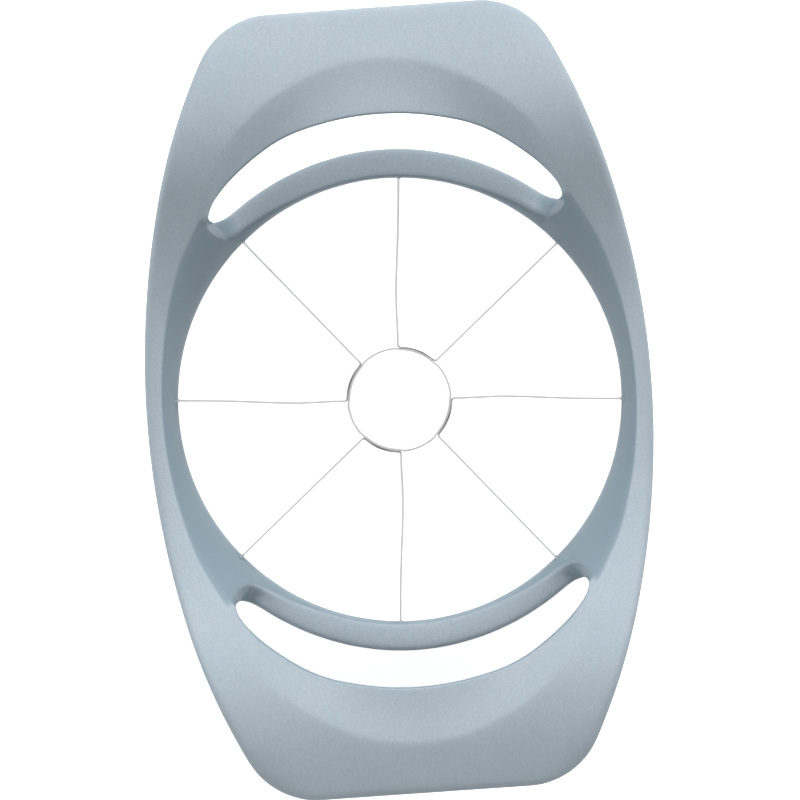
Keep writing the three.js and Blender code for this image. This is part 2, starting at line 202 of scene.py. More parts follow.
bar_crest_shift_shares = [
    (46.4, 1.28), (47.5, 1.07), (49, 0.83), (50, 0.67), (52, 0.53), (55, 0.45),
    (60, 0.24), (70, 0),
]
wall_rim_angle = 45.4  # the bowl's wall ends here and the slot's rounded end begins
nose_angle = 47.5
bar_start_angle = 55
wall_guard_angle = 44.9
wall_guard_reach = 4.6
thickening_angle = 41  # from here the wall's foot thickens towards the bar
hollow_start_angle = 57  # from here to the handle's middle the scoop gets its hollow
handle_middle = 90
print("slot from", nose_angle, "degrees, full bar from", bar_start_angle)


# %% Read a curve
def lerp(start, end, share):
    return start + (end - start) * share


def smooth_step(value, start, end):
    share = min(max((value - start) / (end - start), 0), 1)
    return share * share * (3 - 2 * share)


def curve_through(pairs, place):
    """A smooth curve through pairs of a place and a value, level at both ends."""
    last = len(pairs) - 1
    if place <= pairs[0][0]:
        return pairs[0][1]
    if place >= pairs[last][0]:
        return pairs[last][1]

    def slope(i):
        if i in (0, last):
            return 0
        before = (pairs[i][1] - pairs[i - 1][1]) / (pairs[i][0] - pairs[i - 1][0])
        after = (pairs[i + 1][1] - pairs[i][1]) / (pairs[i + 1][0] - pairs[i][0])
        return 0 if before * after <= 0 else 2 * before * after / (before + after)

    i = next(k for k, pair in enumerate(pairs) if pair[0] > place) - 1
    span = pairs[i + 1][0] - pairs[i][0]
    rise = pairs[i + 1][1] - pairs[i][1]
    t = (place - pairs[i][0]) / span
    bend = (slope(i) * span - rise) * (1 - t) - (slope(i + 1) * span - rise) * t
    return pairs[i][1] + rise * t + t * (1 - t) * bend


print("crease share at 45 degrees", round(curve_through(crease_shares, 45), 3))

# %% [markdown]
# Seen from above, the real outer edge is an arc along each side, a round corner, and a straight end. It
# could be drawn as a curve object, but the sections below need to know how far away the edge is in any
# direction from the centre, and arcs give that exactly.

# %% The outer edge
side_centre = Vector((half_width - side_arc_radius, 0))
corner_y = half_length - corner_radius
corner_x = side_centre.x + math.sqrt((side_arc_radius - corner_radius) ** 2 - corner_y**2)
corner_centre = Vector((corner_x, corner_y))
tangent_point = side_centre + (corner_centre - side_centre).normalized() * side_arc_radius
corner_start_angle = math.degrees(math.atan2(tangent_point.y, tangent_point.x))
corner_end_angle = math.degrees(math.atan2(half_length, corner_x))


def ray_to_circle(angle, centre, radius):
    along = math.cos(math.radians(angle)) * centre.x + math.sin(math.radians(angle)) * centre.y
    return along + math.sqrt(along**2 - centre.length_squared + radius**2)


def edge_radius(angle):
    if angle < corner_start_angle:
        return ray_to_circle(angle, side_centre, side_arc_radius)
    if angle > corner_end_angle:
        return half_length / math.sin(math.radians(angle))
    return ray_to_circle(angle, corner_centre, corner_radius)


def plate_height(radius, angle):
    y = radius * math.sin(math.radians(angle))
    return lerp(side_height, handle_height, curve_through(plate_rise_shares, y / half_length))


print("corner in degrees", round(corner_start_angle, 1), round(corner_end_angle, 1))

# %% [markdown]
# The whole frame is one closed section that is carried round the ring. It goes up the inner wall, over the
# crease, across the plate, round its edge and back underneath to the foot. Beside a finger slot the same
# points draw the bar and the handle, and between the two the section blends from one to the other. Joining a
# ring, a plate and two handles instead would leave seams that the real moulding doesn't have.

# %% The places that a section is drawn from
wall_row_shares = [0.02, 0.07, 0.16, 0.3, 0.45, 0.57, 0.68, 0.82, 0.88, 0.92, 0.96, 1]
outer_wall_shares = [0.86, 0.74, 0.62, 0.4, 0.2]
wall_lean_share = 0.58
round_share = 0.3
crest_lean_share = 0.75
bar_middle_share = 0.45
rim_turn = 1.5
rim_turn_shares = [0.73, 0.73, 0.73, 0.33, 0.33, 0.5, 0.6, 0.93, 1, 0.93, 0.53, 0.2]  # row by row


class Places:
    def __init__(self, angle):
        self.angle = angle
        self.edge = edge_radius(angle)
        self.edge_z = plate_height(self.edge, angle)
        self.crease = lerp(ring_inner_radius, self.edge, curve_through(crease_shares, angle))
        self.crease_z = plate_height(self.crease, angle)
        towards_handle = smooth_step(angle, wall_rim_angle, handle_middle)
        self.crease_rounding = lerp(crease_rounding_at_side, crease_rounding_at_handle, towards_handle)
        self.thickness = lerp(side_thickness, handle_thickness, towards_handle)
        self.crease_start = self.crease - self.crease_rounding
        self.bar_edge = bar_outer_radius + nose_inset * curve_through(nose_inset_shares, angle)
        self.handle_edge = bar_outer_radius + slot_width * curve_through(handle_edge_shares, angle)
        self.scoop_slope = scoop_slope * curve_through(scoop_slope_shares, angle)
        self.scoop_hollow = scoop_hollow * smooth_step(angle, hollow_start_angle, handle_middle)
        self.slot_round = min(slot_rounding, (self.crease_start - self.handle_edge) / 2)
        self.bar_crest = bar_height + bar_end_rise * curve_through(bar_crest_rise_shares, angle)
        self.bar_top = bar_height + bar_end_rise * curve_through(bar_edge_rise_shares, angle)
        self.blend(angle)

    def blend(self, angle):
        """How far the section has changed from the wall's to the bar's, for each of its parts."""
        self.gather = smooth_step(angle, 2 * wall_rim_angle - bar_start_angle, nose_angle)
        self.open = smooth_step(angle, wall_rim_angle, nose_angle)
        self.open_low = smooth_step(angle, thickening_angle, nose_angle)
        self.rim = smooth_step(angle, wall_guard_angle - wall_guard_reach, wall_guard_angle)
        if angle > wall_rim_angle:
            self.rim = max(nose_angle - angle, 0) / (nose_angle - wall_rim_angle)

    def wall_height(self, radius):
        share = max((radius - ring_inner_radius) / (self.crease - ring_inner_radius), 0)
        return lerp(upright_height, self.crease_z, share**wall_lean_share)

    def wall_radius(self, z):
        share = max((z - upright_height) / (self.crease_z - upright_height), 0)
        return lerp(ring_inner_radius, self.crease, share ** (1 / wall_lean_share))

    def scoop_height(self, radius):
        inwards = self.crease - radius
        return self.crease_z - self.scoop_slope * inwards * (1 - self.scoop_hollow * inwards / scoop_width)


print("crease at the side in mm", round(Places(0).crease * 1000, 1))


# %% The rows of the inner side, beside the opening or the slot
def inner_rows(at):
    inner_round = bar_inner_rounding * round_share
    shift = bar_crest_shift * curve_through(bar_crest_shift_shares, at.angle)
    crest = ring_inner_radius + shift + bar_inner_rounding
    bar_start = at.bar_edge - bar_outer_rounding_width
    bar_middle = lerp(crest, bar_start, bar_middle_share)
    crest_low = ring_inner_radius + crest_lean_share * shift + inner_round
    outer_round = bar_outer_rounding * round_share
    slot_round = at.slot_round * round_share
    scoop_start = at.handle_edge + at.slot_round
    scoop_middle = lerp(scoop_start, at.crease_start, 0.5)
    beside = [
        (ring_inner_radius, at.bar_crest - bar_inner_rounding - bar_lean * shift),
        (crest_low, at.bar_crest - inner_round - round_share * shift),
        (crest, at.bar_crest),
        (bar_middle, lerp(at.bar_crest, at.bar_top, bar_bulge_share)),
        (bar_start, at.bar_top),
        (at.bar_edge - bar_outer_rounding_width * round_share, at.bar_top - outer_round),
        (at.bar_edge, at.bar_top - bar_outer_rounding),
        (at.handle_edge, at.scoop_height(at.handle_edge) - at.slot_round),
        (at.handle_edge + slot_round, at.scoop_height(scoop_start) - slot_round),
        (scoop_start, at.scoop_height(scoop_start)),
        (scoop_middle, at.scoop_height(scoop_middle)),
        (at.crease_start, at.scoop_height(at.crease_start)),
    ]
    rows = []
    for (radius, z), share, turn in zip(beside, wall_row_shares, rim_turn_shares):
        blended = lerp(lerp(ring_inner_radius, at.crease_start, share), radius, at.gather)
        height = lerp(at.wall_height(blended), z, at.open)
        rows.append((blended, height, rim_turn * turn * at.rim))
    return rows


# %% The rows of the plate and of the outer side
def plate_rows(at):
    start = at.crease + at.crease_rounding / 2
    end = at.edge - edge_rounding_width
    middle = lerp(start, end, 0.5)
    crease_low = at.crease_z - at.crease_rounding * at.scoop_slope * round_share
    return [
        (at.crease, crease_low),
        (start, plate_height(start, at.angle)),
        (middle, plate_height(middle, at.angle)),
        (end, plate_height(end, at.angle)),
        (at.edge - edge_rounding_width * round_share, at.edge_z - edge_rounding * round_share),
        (at.edge, at.edge_z - edge_rounding),
    ]


def outer_rows(at):
    lower_round = at.thickness - edge_rounding
    under_z = at.crease_z - at.thickness
    handle_under = at.scoop_height(at.handle_edge) - at.thickness

    def outer_wall(z):
        return at.wall_radius(z) + lerp(foot_width, side_thickness, z / under_z)

    beside = [
        (at.handle_edge + at.slot_round, handle_under),
        (at.handle_edge + at.slot_round * round_share, handle_under + at.slot_round * round_share),
        (at.handle_edge, handle_under + at.slot_round),
        (at.bar_edge, at.bar_top - bar_outer_rounding - bar_lip),
        (lerp(foot_outer_radius, at.bar_edge, 0.5), bar_height / 2),
    ]
    between = []
    for (radius, z), share in zip(beside, outer_wall_shares):
        wall_z = under_z * share
        widening = at.open if z > at.bar_top else at.open_low
        between.append((lerp(outer_wall(wall_z), radius, widening), lerp(wall_z, z, at.open)))
    return [
        (at.edge - lower_round * round_share, at.edge_z - at.thickness + lower_round * round_share),
        (at.edge - lower_round, at.edge_z - at.thickness),
        (min(outer_wall(under_z), at.edge - lower_round), under_z),
        *between,
        (foot_outer_radius, foot_rounding),
        (foot_outer_radius - foot_rounding, 0),
    ]


# %% One section of the frame
foot_rows = [
    (ring_inner_radius + foot_rounding, 0),
    (ring_inner_radius, foot_rounding),
    (ring_inner_radius, upright_height),
]


def unturned(rows):
    return [(radius, z, 0) for radius, z in rows]


def section(angle):
    """Each point's radius, height and turn round the ring, from the foot's inner corner upwards."""
    at = Places(angle)
    return unturned(foot_rows) + inner_rows(at) + unturned(plate_rows(at) + outer_rows(at))


bar_edge_row = 9
handle_edge_row = 10
handle_under_row = 26
bar_under_row = 27
row_count = len(section(0))
print("rows in a section", row_count)

# %% [markdown]
# The real shape changes fast at the slots' ends and at the corners, and slowly elsewhere. Even sections would
# need to be many, so these stand closer together there. A quarter is enough, because the others mirror it.

# %% The sections' angles
nose_step_shares = [0, 0.09, 0.24, 0.5]


def spread(start, end, steps):
    return [lerp(start, end, i / steps) for i in range(steps)]


quarter = (
    spread(0, wall_rim_angle, steps=9)
    + [wall_guard_angle]
    + spread(wall_rim_angle, nose_angle, steps=2)
    + [lerp(nose_angle, bar_start_angle, share) for share in nose_step_shares]
    + spread(bar_start_angle, corner_start_angle, steps=3)
    + spread(corner_start_angle, corner_end_angle, steps=5)
    + spread(corner_end_angle, handle_middle, steps=3)
)
there = [(angle, angle, 1) for angle in quarter]
back = [(angle, 180 - angle, -1) for angle in reversed(quarter[1:])]
half = there + [(handle_middle, handle_middle, 1)] + back
columns = half + [(angle, full + 180, way) for angle, full, way in half]
sections = {angle: section(angle) for angle, full, way in columns}
print("sections round the ring", len(columns))

# %% [markdown]
# Now the moulding itself. Its mesh could be listed point by point, but extruding is what one does by hand.
# It starts as a circle with one point for each section. The circle is extruded once for each row, and each
# new ring of points is moved to its line. The last ring is bridged to the first. A point remembers its
# column and row in layers of whole numbers, which an extrusion copies.


# %% Draw the frame ring by ring
def column_and_row_layers(mesh):
    layers = mesh.verts.layers.int
    return layers["column"], layers["row"]


def place_ring(moulding, row):
    mesh = bmesh.from_edit_mesh(moulding.data)
    column_layer, row_layer = column_and_row_layers(mesh)
    for point in mesh.verts:
        if point.select:
            angle, full, way = columns[point[column_layer]]
            radius, z, offset = sections[angle][row]
            turn = math.radians(full + way * offset)
            point.co = (radius * math.cos(turn), radius * math.sin(turn), z)
            point[row_layer] = row
    bmesh.update_edit_mesh(moulding.data)


def select_ring_edges(moulding, rows):
    """Selects each edge that has both its ends in one of these rows."""
    mesh = edit_unselected(moulding)
    column_layer, row_layer = column_and_row_layers(mesh)
    for edge in mesh.edges:
        if {point[row_layer] for point in edge.verts} in [{row} for row in rows]:
            edge.select_set(True)
    bmesh.update_edit_mesh(moulding.data)


deselect_pieces()
bpy.ops.mesh.primitive_circle_add(vertices=len(columns), radius=ring_inner_radius)
moulding = name_piece("moulded_frame")
mesh = edit(moulding)
column_layer = mesh.verts.layers.int.new("column")
row_layer = mesh.verts.layers.int.new("row")
for index, point in enumerate(mesh.verts):
    point[column_layer] = index
place_ring(moulding, 0)
for row in range(1, row_count):
    bpy.ops.mesh.extrude_edges_move()
    place_ring(moulding, row)
select_ring_edges(moulding, (0, row_count - 1))
bpy.ops.mesh.bridge_edge_loops()
leave_edit_mode()
report(moulding)

# %% [markdown]
# The real finger slots go right through. A Boolean could cut them, but it would leave long thin faces that
# don't smooth well. Instead, on the top and underneath, the faces between the bar's row and the handle's row
# are bridged: the bridge takes them out and joins the two holes by walls, one along the bar, one along the
# handle and one across each end.


# %% Open the finger slots
def select_slot_faces(moulding, side):
    mesh = edit_unselected(moulding)
    column_layer, row_layer = column_and_row_layers(mesh)
    for face in mesh.faces:
        rows = {point[row_layer] for point in face.verts}
        slotted = all(columns[point[column_layer]][0] >= nose_angle for point in face.verts)
        between = rows in ({bar_edge_row, handle_edge_row}, {handle_under_row, bar_under_row})
        if slotted and between and side * face.calc_center_median().y > 0:
            face.select_set(True)
    bmesh.update_edit_mesh(moulding.data)


for side in (1, -1):
    select_slot_faces(moulding, side)
    bpy.ops.mesh.bridge_edge_loops()
face_outwards(moulding)
report(moulding)

# %% [markdown]
# A Subdivision Surface modifier turns these few flat faces into a smooth moulding. Bevels could round the
# edges one by one, but here every form runs softly into the next. Subdividing also pulls every corner in a
# little. Along the inner wall, the outer edge and the finger slots that would change the size, so each point
# there is first moved out by what it is about to lose. Some move level only, so that the foot stays flat and
# no slot end rises to a point. Last, no point may pass the ends of the CAD model.

# %% Round the frame
inner_rows_kept = {1, 2}
edge_rows = {19, 20, 21}
slot_rows_above = {8, 9, 10, 11}
slot_rows_below = {25, 26, 27}
level_rows = inner_rows_kept | slot_rows_above | slot_rows_below


def kept_in_size(row, angle):
    if row in inner_rows_kept | edge_rows:
        return True
    if row in slot_rows_above:
        return angle >= nose_angle
    return row in slot_rows_below and angle > nose_angle


def opposite_corner(face, point):
    corners = list(face.verts)
    return corners[corners.index(point) - 2].co


def smoothed_place(point):
    """Where endless subdividing would bring this point: the rule of the modifier itself."""
    count = len(point.link_edges)
    near = sum((edge.other_vert(point).co for edge in point.link_edges), Vector())
    across = sum((opposite_corner(face, point) for face in point.link_faces), Vector())
    return (point.co * count**2 + near * 4 + across) / (count * (count + 5))


def keep_size(piece, kept, rounds):
    mesh = edit(piece)
    column_layer, row_layer = column_and_row_layers(mesh)
    points = [point for point in mesh.verts if kept(point[row_layer], columns[point[column_layer]][0])]
    wanted = [point.co.copy() for point in points]
    for _ in range(rounds):
        moves = []
        for point, aim in zip(points, wanted):
            move = aim - smoothed_place(point)
            if point[row_layer] in level_rows:
                move.z = 0
            moves.append(move)
        for point, move in zip(points, moves):
            point.co += move
    bmesh.update_edit_mesh(piece.data)
    leave_edit_mode()


def subdivide_smoothly(piece, levels):
    smooth = piece.modifiers.new("smooth", "SUBSURF")
    smooth.levels = levels
    smooth.render_levels = levels
    apply_modifiers(piece)
    bpy.ops.object.shade_smooth()


keep_size(moulding, kept_in_size, rounds=2)
subdivide_smoothly(moulding, levels=2)
for point in moulding.data.vertices:
    point.co.y = min(max(point.co.y, -half_length), half_length)
report(moulding)

# %% [markdown]
# Eight blades run from the ring to the core ring. They are the first and second legs of four strips, and
# they don't point quite at the centre. These are their sizes, and each leg's turn and sideways place.

# %% The blades' sizes and places
blade_thickness = 0.0004
blade_height = 0.0095
blade_lift = 0.0008  # the cutting edges stay this far above the foot
ground_height = 0.0018  # how far up the blades are ground thin
ground_share = 0.27  # what is left of the thickness at the cutting edge
blade_anchor = 0.0026  # how far a blade's end goes into the wall
blade_turn = -4  # the blades stand a little turned from the frame's own axes
blade_spacing = 45
blade_set = 0.00025
blade_set_back = 0.00015
strip_turns = [0, 90, 180, 270]
leg_places = []
for turn in strip_turns:
    leg_places.append((blade_turn + turn, blade_set))
    leg_places.append((blade_turn + turn - blade_spacing, -blade_set_back))
print("legs in degrees", sorted(turn for turn, offset in leg_places))


# %% Helpers for copies and Booleans
def turned_copy(piece, degrees, name):
    select_only(piece)
    bpy.ops.object.duplicate(linked=False)
    copy = name_piece(name)
    turn_about_origin(copy, degrees)
    return copy


def join_all(pieces):
    select_only(pieces[0])
    for piece in pieces:
        piece.select_set(True)
    bpy.ops.object.join()
    return bpy.context.object


def combine(piece, tool, operation):
    boolean = piece.modifiers.new(operation.lower(), "BOOLEAN")
    boolean.operation = operation
    boolean.solver = "EXACT"
    boolean.object = tool
    apply_modifiers(piece)
    bpy.data.objects.remove(tool)


# %% [markdown]
# Each blade's end goes into the ring's wall, and the moulding swells round it into a tiny upright boss. It is
# much narrower than the space between two sections, so it isn't drawn with the frame. A boss starts as a
# cylinder that stands half inside the wall, with its upper end bevelled, and an exact Boolean unites the
# eight with the moulding.

# %% Bosses for the blades' ends
boss_radius = 0.00038
boss_cap = 0.00015  # how far a boss stands above its blade
boss_set_in = 0.00005  # a boss has its middle this far inside the wall
boss_rounding = 0.0002
boss_height = blade_lift + blade_height + boss_cap - foot_rounding


def round_upper_end(boss):
    mesh = edit_unselected(boss)
    for edge in mesh.edges:
        if all(point.co.z > 0 for point in edge.verts):
            edge.select_set(True)
    bmesh.update_edit_mesh(boss.data)
    bpy.ops.mesh.bevel(offset=boss_rounding, segments=3)


def make_boss(turn, offset):
    deselect_pieces()
    bpy.ops.mesh.primitive_cylinder_add(
        vertices=20,
        radius=boss_radius,
        depth=boss_height,
        location=(ring_inner_radius + boss_set_in, offset, foot_rounding + boss_height / 2),
    )
    boss = name_piece("boss")
    round_upper_end(boss)
    settle(boss)
    turn_about_origin(boss, turn)
    return boss


bosses = [make_boss(turn, offset) for turn, offset in leg_places]
combine(moulding, join_all(bosses), "UNION")
print("bosses", len(bosses))

# %% [markdown]
# The real plastic is moulded onto the blades' ends. Here a narrow box cuts a pocket for each, slightly larger
# than the steel, so that no two surfaces fall together.

# %% Pockets for the blades' ends
pocket_gap = 0.00002
pocket_length = blade_anchor + 2 * boss_radius
smoothed_angle = math.radians(35)  # faces that meet at less than this are shaded as one


def make_pocket(turn, offset):
    deselect_pieces()
    bpy.ops.mesh.primitive_cube_add(size=1)
    pocket = name_piece("pocket")
    pocket.scale = (pocket_length, blade_thickness + 2 * pocket_gap, blade_height + 2 * pocket_gap)
    pocket.location = (
        ring_inner_radius + blade_anchor + pocket_gap - pocket_length / 2,
        offset,
        blade_lift + blade_height / 2,
    )
    settle(pocket)
    turn_about_origin(pocket, turn)
    return pocket


pockets = [make_pocket(turn, offset) for turn, offset in leg_places]
combine(moulding, join_all(pockets), "DIFFERENCE")
select_only(moulding)
bpy.ops.object.shade_smooth_by_angle(angle=smoothed_angle)
report(moulding)

# %% [markdown]
# The blades are four strips of sheet steel on edge. Each comes in from the ring, bends, hugs the core ring
# over an eighth of a turn, bends back and runs out again. Its first leg is bowed a little. The line could be
# drawn as a curve, but points that come from the sizes keep it in touch with the core ring and the wall.

# %% The line of a strip
core_radius = 0.01169
core_press = 0.00026  # how far the strips have pressed the core ring in, where they are welded on
strip_clearance = 0.00005
bend_radius = 0.0007
blade_bow = 0.00045
blade_bow_power = 1.8  # puts the bow's middle nearer to the core ring
hug_turn = 1.7
leg_steps = 18
bend_steps = 7
hug_steps = 14
hug_radius = core_radius - core_press + strip_clearance + blade_thickness / 2
bend_distance = math.sqrt((hug_radius + bend_radius) ** 2 - bend_radius**2)
bend_angle = math.asin(bend_radius / (hug_radius + bend_radius))


def turn_about_middle(point, degrees):
    return Matrix.Rotation(math.radians(degrees), 2) @ point


def mirror_leg(point):
    return turn_about_middle(Vector((point.x, -point.y)), -blade_spacing)


def bend_points():
    points = []
    for i in range(bend_steps):
        turn = math.pi / 2 + (math.pi / 2 + bend_angle) * i / bend_steps
        x = bend_distance + bend_radius * math.cos(turn)
        points.append(Vector((x, bend_radius * (math.sin(turn) - 1))))
    return points


def hug_points():
    points = []
    for i in range(hug_steps + 1):
        turn = lerp(-bend_angle, -math.radians(blade_spacing) + bend_angle, i / hug_steps)
        points.append(Vector((hug_radius * math.cos(turn), hug_radius * math.sin(turn))))
    return points


def first_leg_points(bend_start):
    wall = Vector((ring_inner_radius, blade_set))
    points = []
    for i in range(leg_steps):
        share = i / leg_steps
        bow = blade_bow * math.sin(math.pi * share**blade_bow_power) ** 2
        points.append(wall.lerp(bend_start, share) + Vector((0, bow)))
    return points


def second_leg_points(bend_end):
    wall = turn_about_middle(Vector((ring_inner_radius, -blade_set_back)), -blade_spacing)
    return [bend_end.lerp(wall, i / leg_steps) for i in range(1, leg_steps + 1)]


def strip_line():
    bend = bend_points()
    middle = bend + hug_points() + [mirror_leg(point) for point in reversed(bend)]
    middle = [turn_about_middle(point, hug_turn) for point in middle]
    anchor = ring_inner_radius + blade_anchor
    first = Vector((anchor, blade_set))
    last = turn_about_middle(Vector((anchor, -blade_set_back)), -blade_spacing)
    return [first, *first_leg_points(middle[0]), *middle, *second_leg_points(middle[-1]), last]


line = strip_line()
print("points on the line", len(line))

# %% [markdown]
# The strips and the core ring are all sheet steel, ground to an edge below and cut square above. A bisect
# draws the line that the grinding reaches up to. Solidify then gives the sheet its thickness, less along the
# ground edge, and a small bevel takes off the sharp corners. A Boolean could grind a solid bar instead, but
# a sheet that is given a thickness bends cleanly.

# %% Make sheet steel
cutting_edge_band = 0.0001  # points less than this above the cutting edge belong to it
sheet_rounding = 0.00005


def mark_full_thickness(piece):
    full = piece.vertex_groups.new(name="full_thickness")
    for point in piece.data.vertices:
        at_edge = point.co.z < blade_lift + cutting_edge_band
        full.add([point.index], ground_share if at_edge else 1, "REPLACE")
    return full


def add_thickness(piece, thickness):
    full = mark_full_thickness(piece)
    solid = piece.modifiers.new("sheet", "SOLIDIFY")
    solid.thickness = thickness
    solid.offset = 0
    solid.use_even_offset = True
    solid.vertex_group = full.name
    corners = piece.modifiers.new("corners", "BEVEL")
    corners.width = sheet_rounding
    corners.segments = 2
    corners.limit_method = "ANGLE"
    corners.angle_limit = math.radians(60)
    apply_modifiers(piece)


def thicken_sheet(piece, thickness):
    edit_all(piece)
    bpy.ops.mesh.bisect(plane_co=(0, 0, blade_lift + ground_height), plane_no=(0, 0, 1))
    leave_edit_mode()
    add_thickness(piece, thickness)
    face_outwards(piece)
    bpy.ops.object.shade_smooth_by_angle(angle=smoothed_angle)
    report(piece)


# %% [markdown]
# A strip is drawn as it would be bent, from one end to the other. It starts as one upright edge, what is left
# of a plane when two of its corners are deleted. The edge is extruded from point to point along the line.

# %% Draw a strip
deselect_pieces()
bpy.ops.mesh.primitive_plane_add(size=blade_height)
strip = name_piece("cutting_strip_a")


def keep_upright_edge(strip, start):
    mesh = edit_unselected(strip)
    for point in mesh.verts:
        if point.co.y > 0:
            point.select_set(True)
    bmesh.update_edit_mesh(strip.data)
    bpy.ops.mesh.delete(type="VERT")
    mesh = bmesh.from_edit_mesh(strip.data)
    for point, z in zip(mesh.verts, (blade_lift, blade_lift + blade_height)):
        point.co = (start.x, start.y, z)


keep_upright_edge(strip, line[0])
bpy.ops.mesh.select_all(action="SELECT")
for before, after in zip(line, line[1:]):
    step = after - before
    bpy.ops.mesh.extrude_edges_move(TRANSFORM_OT_translate={"value": (step.x, step.y, 0)})
leave_edit_mode()
thicken_sheet(strip, blade_thickness)

# %% [markdown]
# Where a strip hugs the core ring, at its spot weld, the steel is made darker. It could be painted, but
# a number kept at each point is enough: 1 at the weld's middle, less towards its ends, and 0 on the legs. The
# other three strips are turned copies of the first.

# %% Mark where the steel is darker and copy the strip
darkening_reach = math.radians(26)
least_darkening = 0.3


# Darker steel where the strip hugs the core ring, most at the weld's middle.
def mark_hug_darkening(strip):
    hug_darkening = strip.data.attributes.new("hug_darkening", "FLOAT", "POINT")
    weld_turn = math.radians(hug_turn - blade_spacing / 2)
    for point, darkening in zip(strip.data.vertices, hug_darkening.data):
        on_weld = math.hypot(point.co.x, point.co.y) < core_radius + blade_thickness
        from_weld = abs(math.atan2(point.co.y, point.co.x) - weld_turn)
        darkening.value = max(1 - from_weld / darkening_reach, least_darkening) if on_weld else 0


mark_hug_darkening(strip)
strips = [strip]
for name, turn in zip("bcd", strip_turns[1:]):
    strips.append(turned_copy(strip, turn, f"cutting_strip_{name}"))
for strip in strips:
    turn_about_origin(strip, blade_turn + strip_turns[1])
print("strips", [strip.name for strip in strips])

# %% [markdown]
# The core ring is a short tube of the same sheet. It starts as a circle that is extruded upwards, so that it
# is thickened just as the strips are. The strips have pressed it in a little where they hug it, so its points
# are first moved inwards there.

# %% The core ring
core_wall = 0.0004
core_height = 0.0105
press_middle = math.radians(17.5)
press_end = math.radians(29)
quarter_turn = math.pi / 2


def press_core(core):
    first_weld = math.radians(blade_turn - blade_spacing / 2 + hug_turn)
    for point in core.data.vertices:
        turn = math.atan2(point.co.y, point.co.x) - first_weld
        from_weld = (turn + quarter_turn / 2) % quarter_turn - quarter_turn / 2
        press = core_press * smooth_step(abs(from_weld), press_end, press_middle)
        scale = 1 - press / core_radius
        point.co = (point.co.x * scale, point.co.y * scale, point.co.z)


deselect_pieces()
bpy.ops.mesh.primitive_circle_add(
    vertices=96,
    radius=core_radius - core_wall / 2,
    location=(0, 0, blade_lift),
)
core = name_piece("coring_tube")
settle(core)
edit_all(core)
bpy.ops.mesh.extrude_edges_move(TRANSFORM_OT_translate={"value": (0, 0, core_height)})
leave_edit_mode()
press_core(core)
thicken_sheet(core, core_wall)

# %% [markdown]
# Materials are drawn with nodes and read Object coordinates, so that they sit still on the piece. By hand
# each node is placed and wired in the shader editor. These helpers do the same in a line each.


# %% Helpers for materials
def new_material(name):
    material = bpy.data.materials.new(name)
    material.use_nodes = True
    return material


def add_node(material, kind, **settings):
    node = material.node_tree.nodes.new(kind)
    for key, value in settings.items():
        setattr(node, key, value)
    return node


def join(material, source, target):
    material.node_tree.links.new(source, target)


def noise(material, place, scale, detail, roughness=0.5):
    node = add_node(material, "ShaderNodeTexNoise")
    node.inputs["Scale"].default_value = scale
    node.inputs["Detail"].default_value = detail
    node.inputs["Roughness"].default_value = roughness
    join(material, place, node.inputs["Vector"])
    return node.outputs["Fac"]


def remap(material, value, from_low, from_high, to_low=0, to_high=1):
    node = add_node(material, "ShaderNodeMapRange")
    numbers = {"From Min": from_low, "From Max": from_high, "To Min": to_low, "To Max": to_high}
    for name, number in numbers.items():
        node.inputs[name].default_value = number
    join(material, value, node.inputs["Value"])
    return node.outputs["Result"]


def fill_sockets(material, sockets, values):
    """Gives each socket its number or colour, or joins it to a node's output."""
    for socket, value in zip(sockets, values):
        if isinstance(value, (int, float, tuple)):
            socket.default_value = value
        else:
            join(material, value, socket)


def z_of(material, vector):
    node = add_node(material, "ShaderNodeSeparateXYZ")
    join(material, vector, node.inputs[0])
    return node.outputs["Z"]


def math_node(material, operation, first, second):
    node = add_node(material, "ShaderNodeMath", operation=operation)
    fill_sockets(material, node.inputs, (first, second))
    return node.outputs[0]


def vector_node(material, operation, *values, output="Vector"):
    node = add_node(material, "ShaderNodeVectorMath", operation=operation)
    fill_sockets(material, node.inputs, values)
    return node.outputs[output]


def blend(material, factor, first, second, kind="RGBA"):
    """For colours, or for numbers where kind is FLOAT: the node has sockets of its own for each."""
    node = add_node(material, "ShaderNodeMix", data_type=kind)
    sockets = node.inputs[2:4] if kind == "FLOAT" else node.inputs[6:8]
    fill_sockets(material, (node.inputs[0], *sockets), (factor, first, second))
    return node.outputs[0 if kind == "FLOAT" else 2]


def bump(material, height, strength, depth):
    node = add_node(material, "ShaderNodeBump")
    node.inputs["Strength"].default_value = strength
    node.inputs["Distance"].default_value = depth
    join(material, height, node.inputs["Height"])
    return node.outputs["Normal"]


def wire_shader(material, colour, roughness, normal):
    shader = material.node_tree.nodes["Principled BSDF"]
    for name, source in (("Base Color", colour), ("Roughness", roughness), ("Normal", normal)):
        join(material, source, shader.inputs[name])
    print(material.name, "nodes", len(material.node_tree.nodes))
    return shader


def dress(piece, material):
    piece.data.materials.clear()
    piece.data.materials.append(material)


# %% [markdown]
# The frame is a light blue-grey plastic from a spark-eroded mould. Its upward faces carry a fine grain, under
# half a millimetre across, that breaks the light into pale and dark specks. On the steep walls, which are
# drawn out of the mould, it is much fainter. A flat picture of a grain would stretch on the walls. One fine
# noise in space doesn't, and it serves the bump, the colour and the roughness.

# %% Grain of the plastic
plastic = new_material("moulded_plastic")
coordinates = add_node(plastic, "ShaderNodeTexCoord")
place = coordinates.outputs["Object"]
normal = coordinates.outputs["Normal"]
facing_up = z_of(plastic, normal)
wall_grain = 0.3  # how much of the grain is left on a steep wall
steep_facing = 0.55
level_facing = 0.9
grain_reach = 0.22

grain = noise(plastic, place, scale=2600, detail=2, roughness=0.6)
grain_strength = remap(plastic, facing_up, steep_facing, level_facing, wall_grain, 1)
grain_swing = math_node(plastic, "MULTIPLY", math_node(plastic, "SUBTRACT", grain, 0.5), grain_strength)
speck = remap(plastic, grain_swing, -grain_reach, grain_reach)
